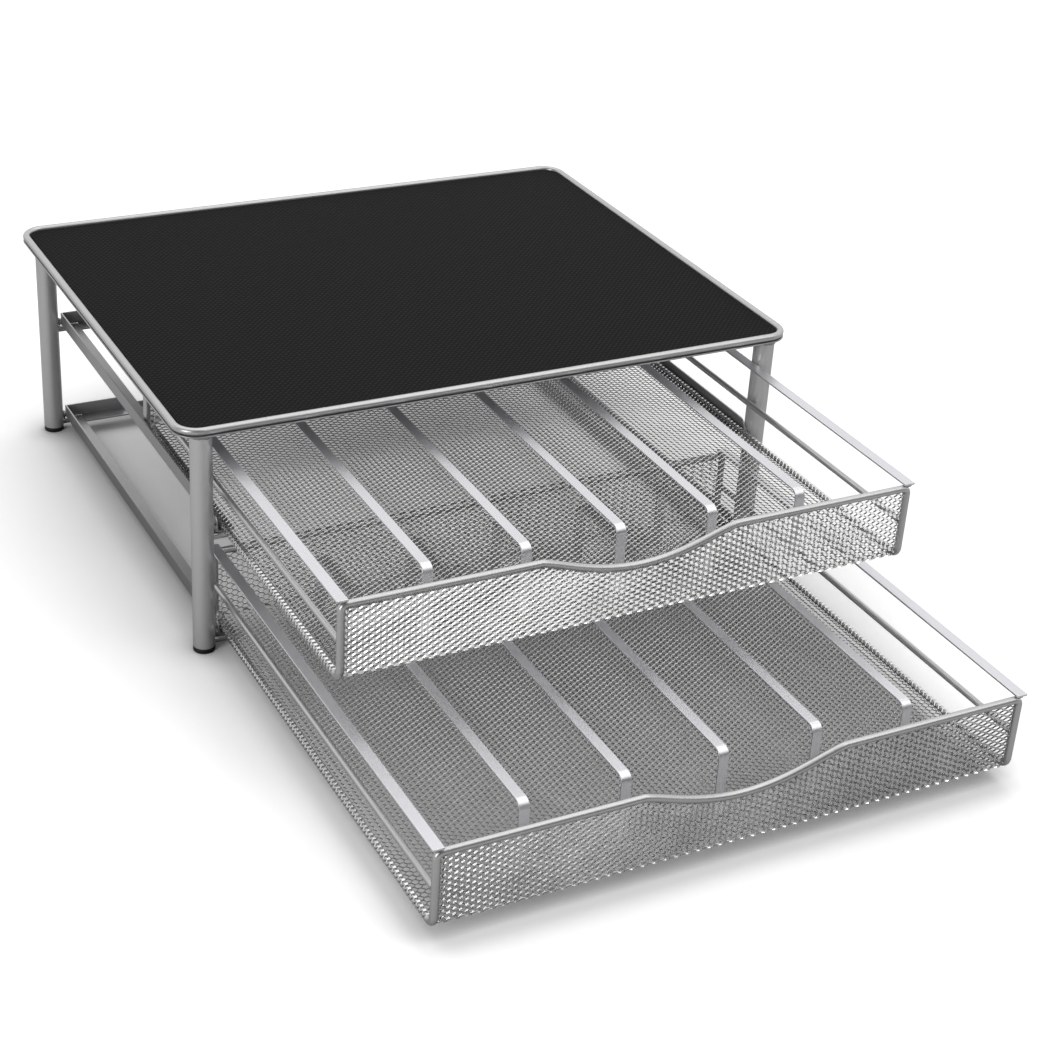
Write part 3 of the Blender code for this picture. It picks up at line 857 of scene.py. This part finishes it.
def strand_rows(width, pitch_long, pitch_short):
    """Two rows of strands side by side along X, centred on it, the second half a step over."""
    lean = Vector((0, math.cos(STRAND_LEAN), math.sin(STRAND_LEAN)))
    through = Vector((0, -math.sin(STRAND_LEAN), math.cos(STRAND_LEAN)))
    rise = Vector((0, pitch_short / 2, 0)) - lean * STRAND_WIDTH
    slope = Vector(((pitch_long / 2 - BOND_LENGTH), 0, 0))
    flat = Vector((BOND_LENGTH, 0, 0))
    clear()
    bpy.ops.mesh.primitive_plane_add(size=1)
    section = bpy.context.object
    section.name = "strand"
    spots = ((0, -0.5), (1, -0.5), (0, 0.5), (1, 0.5))
    for corner, (wide, thick) in zip(section.data.vertices, spots):
        corner.co = lean * (STRAND_WIDTH * wide) + through * (STRAND_THICKNESS * thick)
    edit()
    choose_all()
    for push in (flat, slope + rise, flat, slope - rise):
        pull(push)
    choose("faces", lambda place, facing: abs(facing.x) > 0.99)
    bpy.ops.mesh.delete(type="FACE")
    done()
    columns = round(width / pitch_long)
    apply("ARRAY", count=columns + 2, use_relative_offset=False, use_constant_offset=True,
          constant_offset_displace=(pitch_long, 0, 0), use_merge_vertices=True,
          merge_threshold=SAME_PLACE)
    edit()
    choose_all()
    bpy.ops.transform.translate(value=(-width / 2 - pitch_long - BOND_LENGTH / 2, 0, 0))
    half_step = (pitch_long / 2, pitch_short / 2, 0)
    bpy.ops.mesh.duplicate_move(TRANSFORM_OT_translate={"value": half_step})
    for edge in (-width / 2, width / 2):
        choose_all()
        bpy.ops.mesh.bisect(plane_co=(edge, 0, 0), plane_no=(math.copysign(1, edge), 0, 0),
                            clear_outer=True, use_fill=True)
    face_out()
    done()


def repeat_rows(count, pitch_short):
    """Repeats the pair of rows at hand along Y."""
    apply("ARRAY", count=count, use_relative_offset=False, use_constant_offset=True,
          constant_offset_displace=(0, pitch_short, 0))


def fold(axis_y, axis_z):
    """Turns everything past a line along X about that line, by half of a right angle."""
    turn = Matrix.Rotation(math.radians(HALF_FOLD), 4, "X")
    pivot = Vector((0, axis_y, axis_z))
    for corner in bpy.context.object.data.vertices:
        if corner.co.y > axis_y:
            corner.co = pivot + turn @ (corner.co - pivot)


def face_about():
    """Mirrors the net at hand front to rear, with its faces still outwards."""
    net = bpy.context.object.data
    net.transform(Matrix.Scale(-1, 4, (0, 1, 0)))
    net.flip_normals()


for drawer in drawers:
    width = 2 * (drawer.half - drawer.radius - WELD_GAP)
    pitch_long = width / round(width / DIAMOND_LONG)
    corner_cut = DIAMOND_SHORT / 2 * math.cos(math.radians(HALF_FOLD))
    depth = drawer.rear - drawer.front
    rows = round((depth - 2 * corner_cut) / DIAMOND_SHORT)
    pitch_short = (depth - 2 * corner_cut) / rows

    # The floor runs from front to rear in two lengths, which meet in the middle
    for part, first, count in (("front", 0, rows // 2), ("rear", rows // 2, rows - rows // 2)):
        strand_rows(width, pitch_long, pitch_short)
        repeat_rows(count, pitch_short)
        floor = bpy.context.object
        floor.data.transform(Matrix.Translation((0, first * pitch_short, 0)))
        face_about()
        floor.location = (0, drawer.rear - corner_cut, drawer.bottom)
        drawer.fit("net_floor_" + part, mesh_silver, "mesh", "floor_mesh")

    # The walls stand up from the folds, and their top edge is cut along the hoop
    wall_height = drawer.top - drawer.bottom
    for end, y, sag in (("front", drawer.front, dip), ("rear", drawer.rear, lambda x: 0)):
        strand_rows(width, pitch_long, pitch_short)
        repeat_rows(round(wall_height / pitch_short) + 1, pitch_short)
        fold(0, 0)
        fold(corner_cut, corner_cut)
        wall = bpy.context.object
        edit()
        choose("faces", lambda place, facing: place.z > wall_height - sag(place.x))
        bpy.ops.mesh.delete(type="FACE")
        done()
        wall.data.transform(Matrix.Translation((0, -corner_cut, 0)))
        if end == "front":
            face_about()
        wall.location = (0, y, drawer.bottom)
        drawer.fit("net_" + end, mesh_silver, "mesh", end + "_mesh")

    # The side edges are rolled once round the bottom wires
    for side_name, side in SIDES:
        roll = drawer.radius - STRAND_THICKNESS * HEM_BITE
        strand_rows(2 * pitch_long, pitch_long, pitch_short)
        low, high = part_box(drawer.name("bottom_wire_" + side_name))
        repeat_rows(round((high.y - low.y) / pitch_short), pitch_short)
        hem = bpy.context.object
        around = 2 * math.pi / (2 * pitch_long)
        for corner in hem.data.vertices:
            angle = corner.co.x * around
            reach = roll + corner.co.z * HEM_FLATTEN
            corner.co = (reach * math.sin(angle), corner.co.y, reach * math.cos(angle))
        hem.location = (side * drawer.half, low.y, drawer.bottom)
        drawer.fit("net_hem_" + side_name, mesh_silver, "mesh")
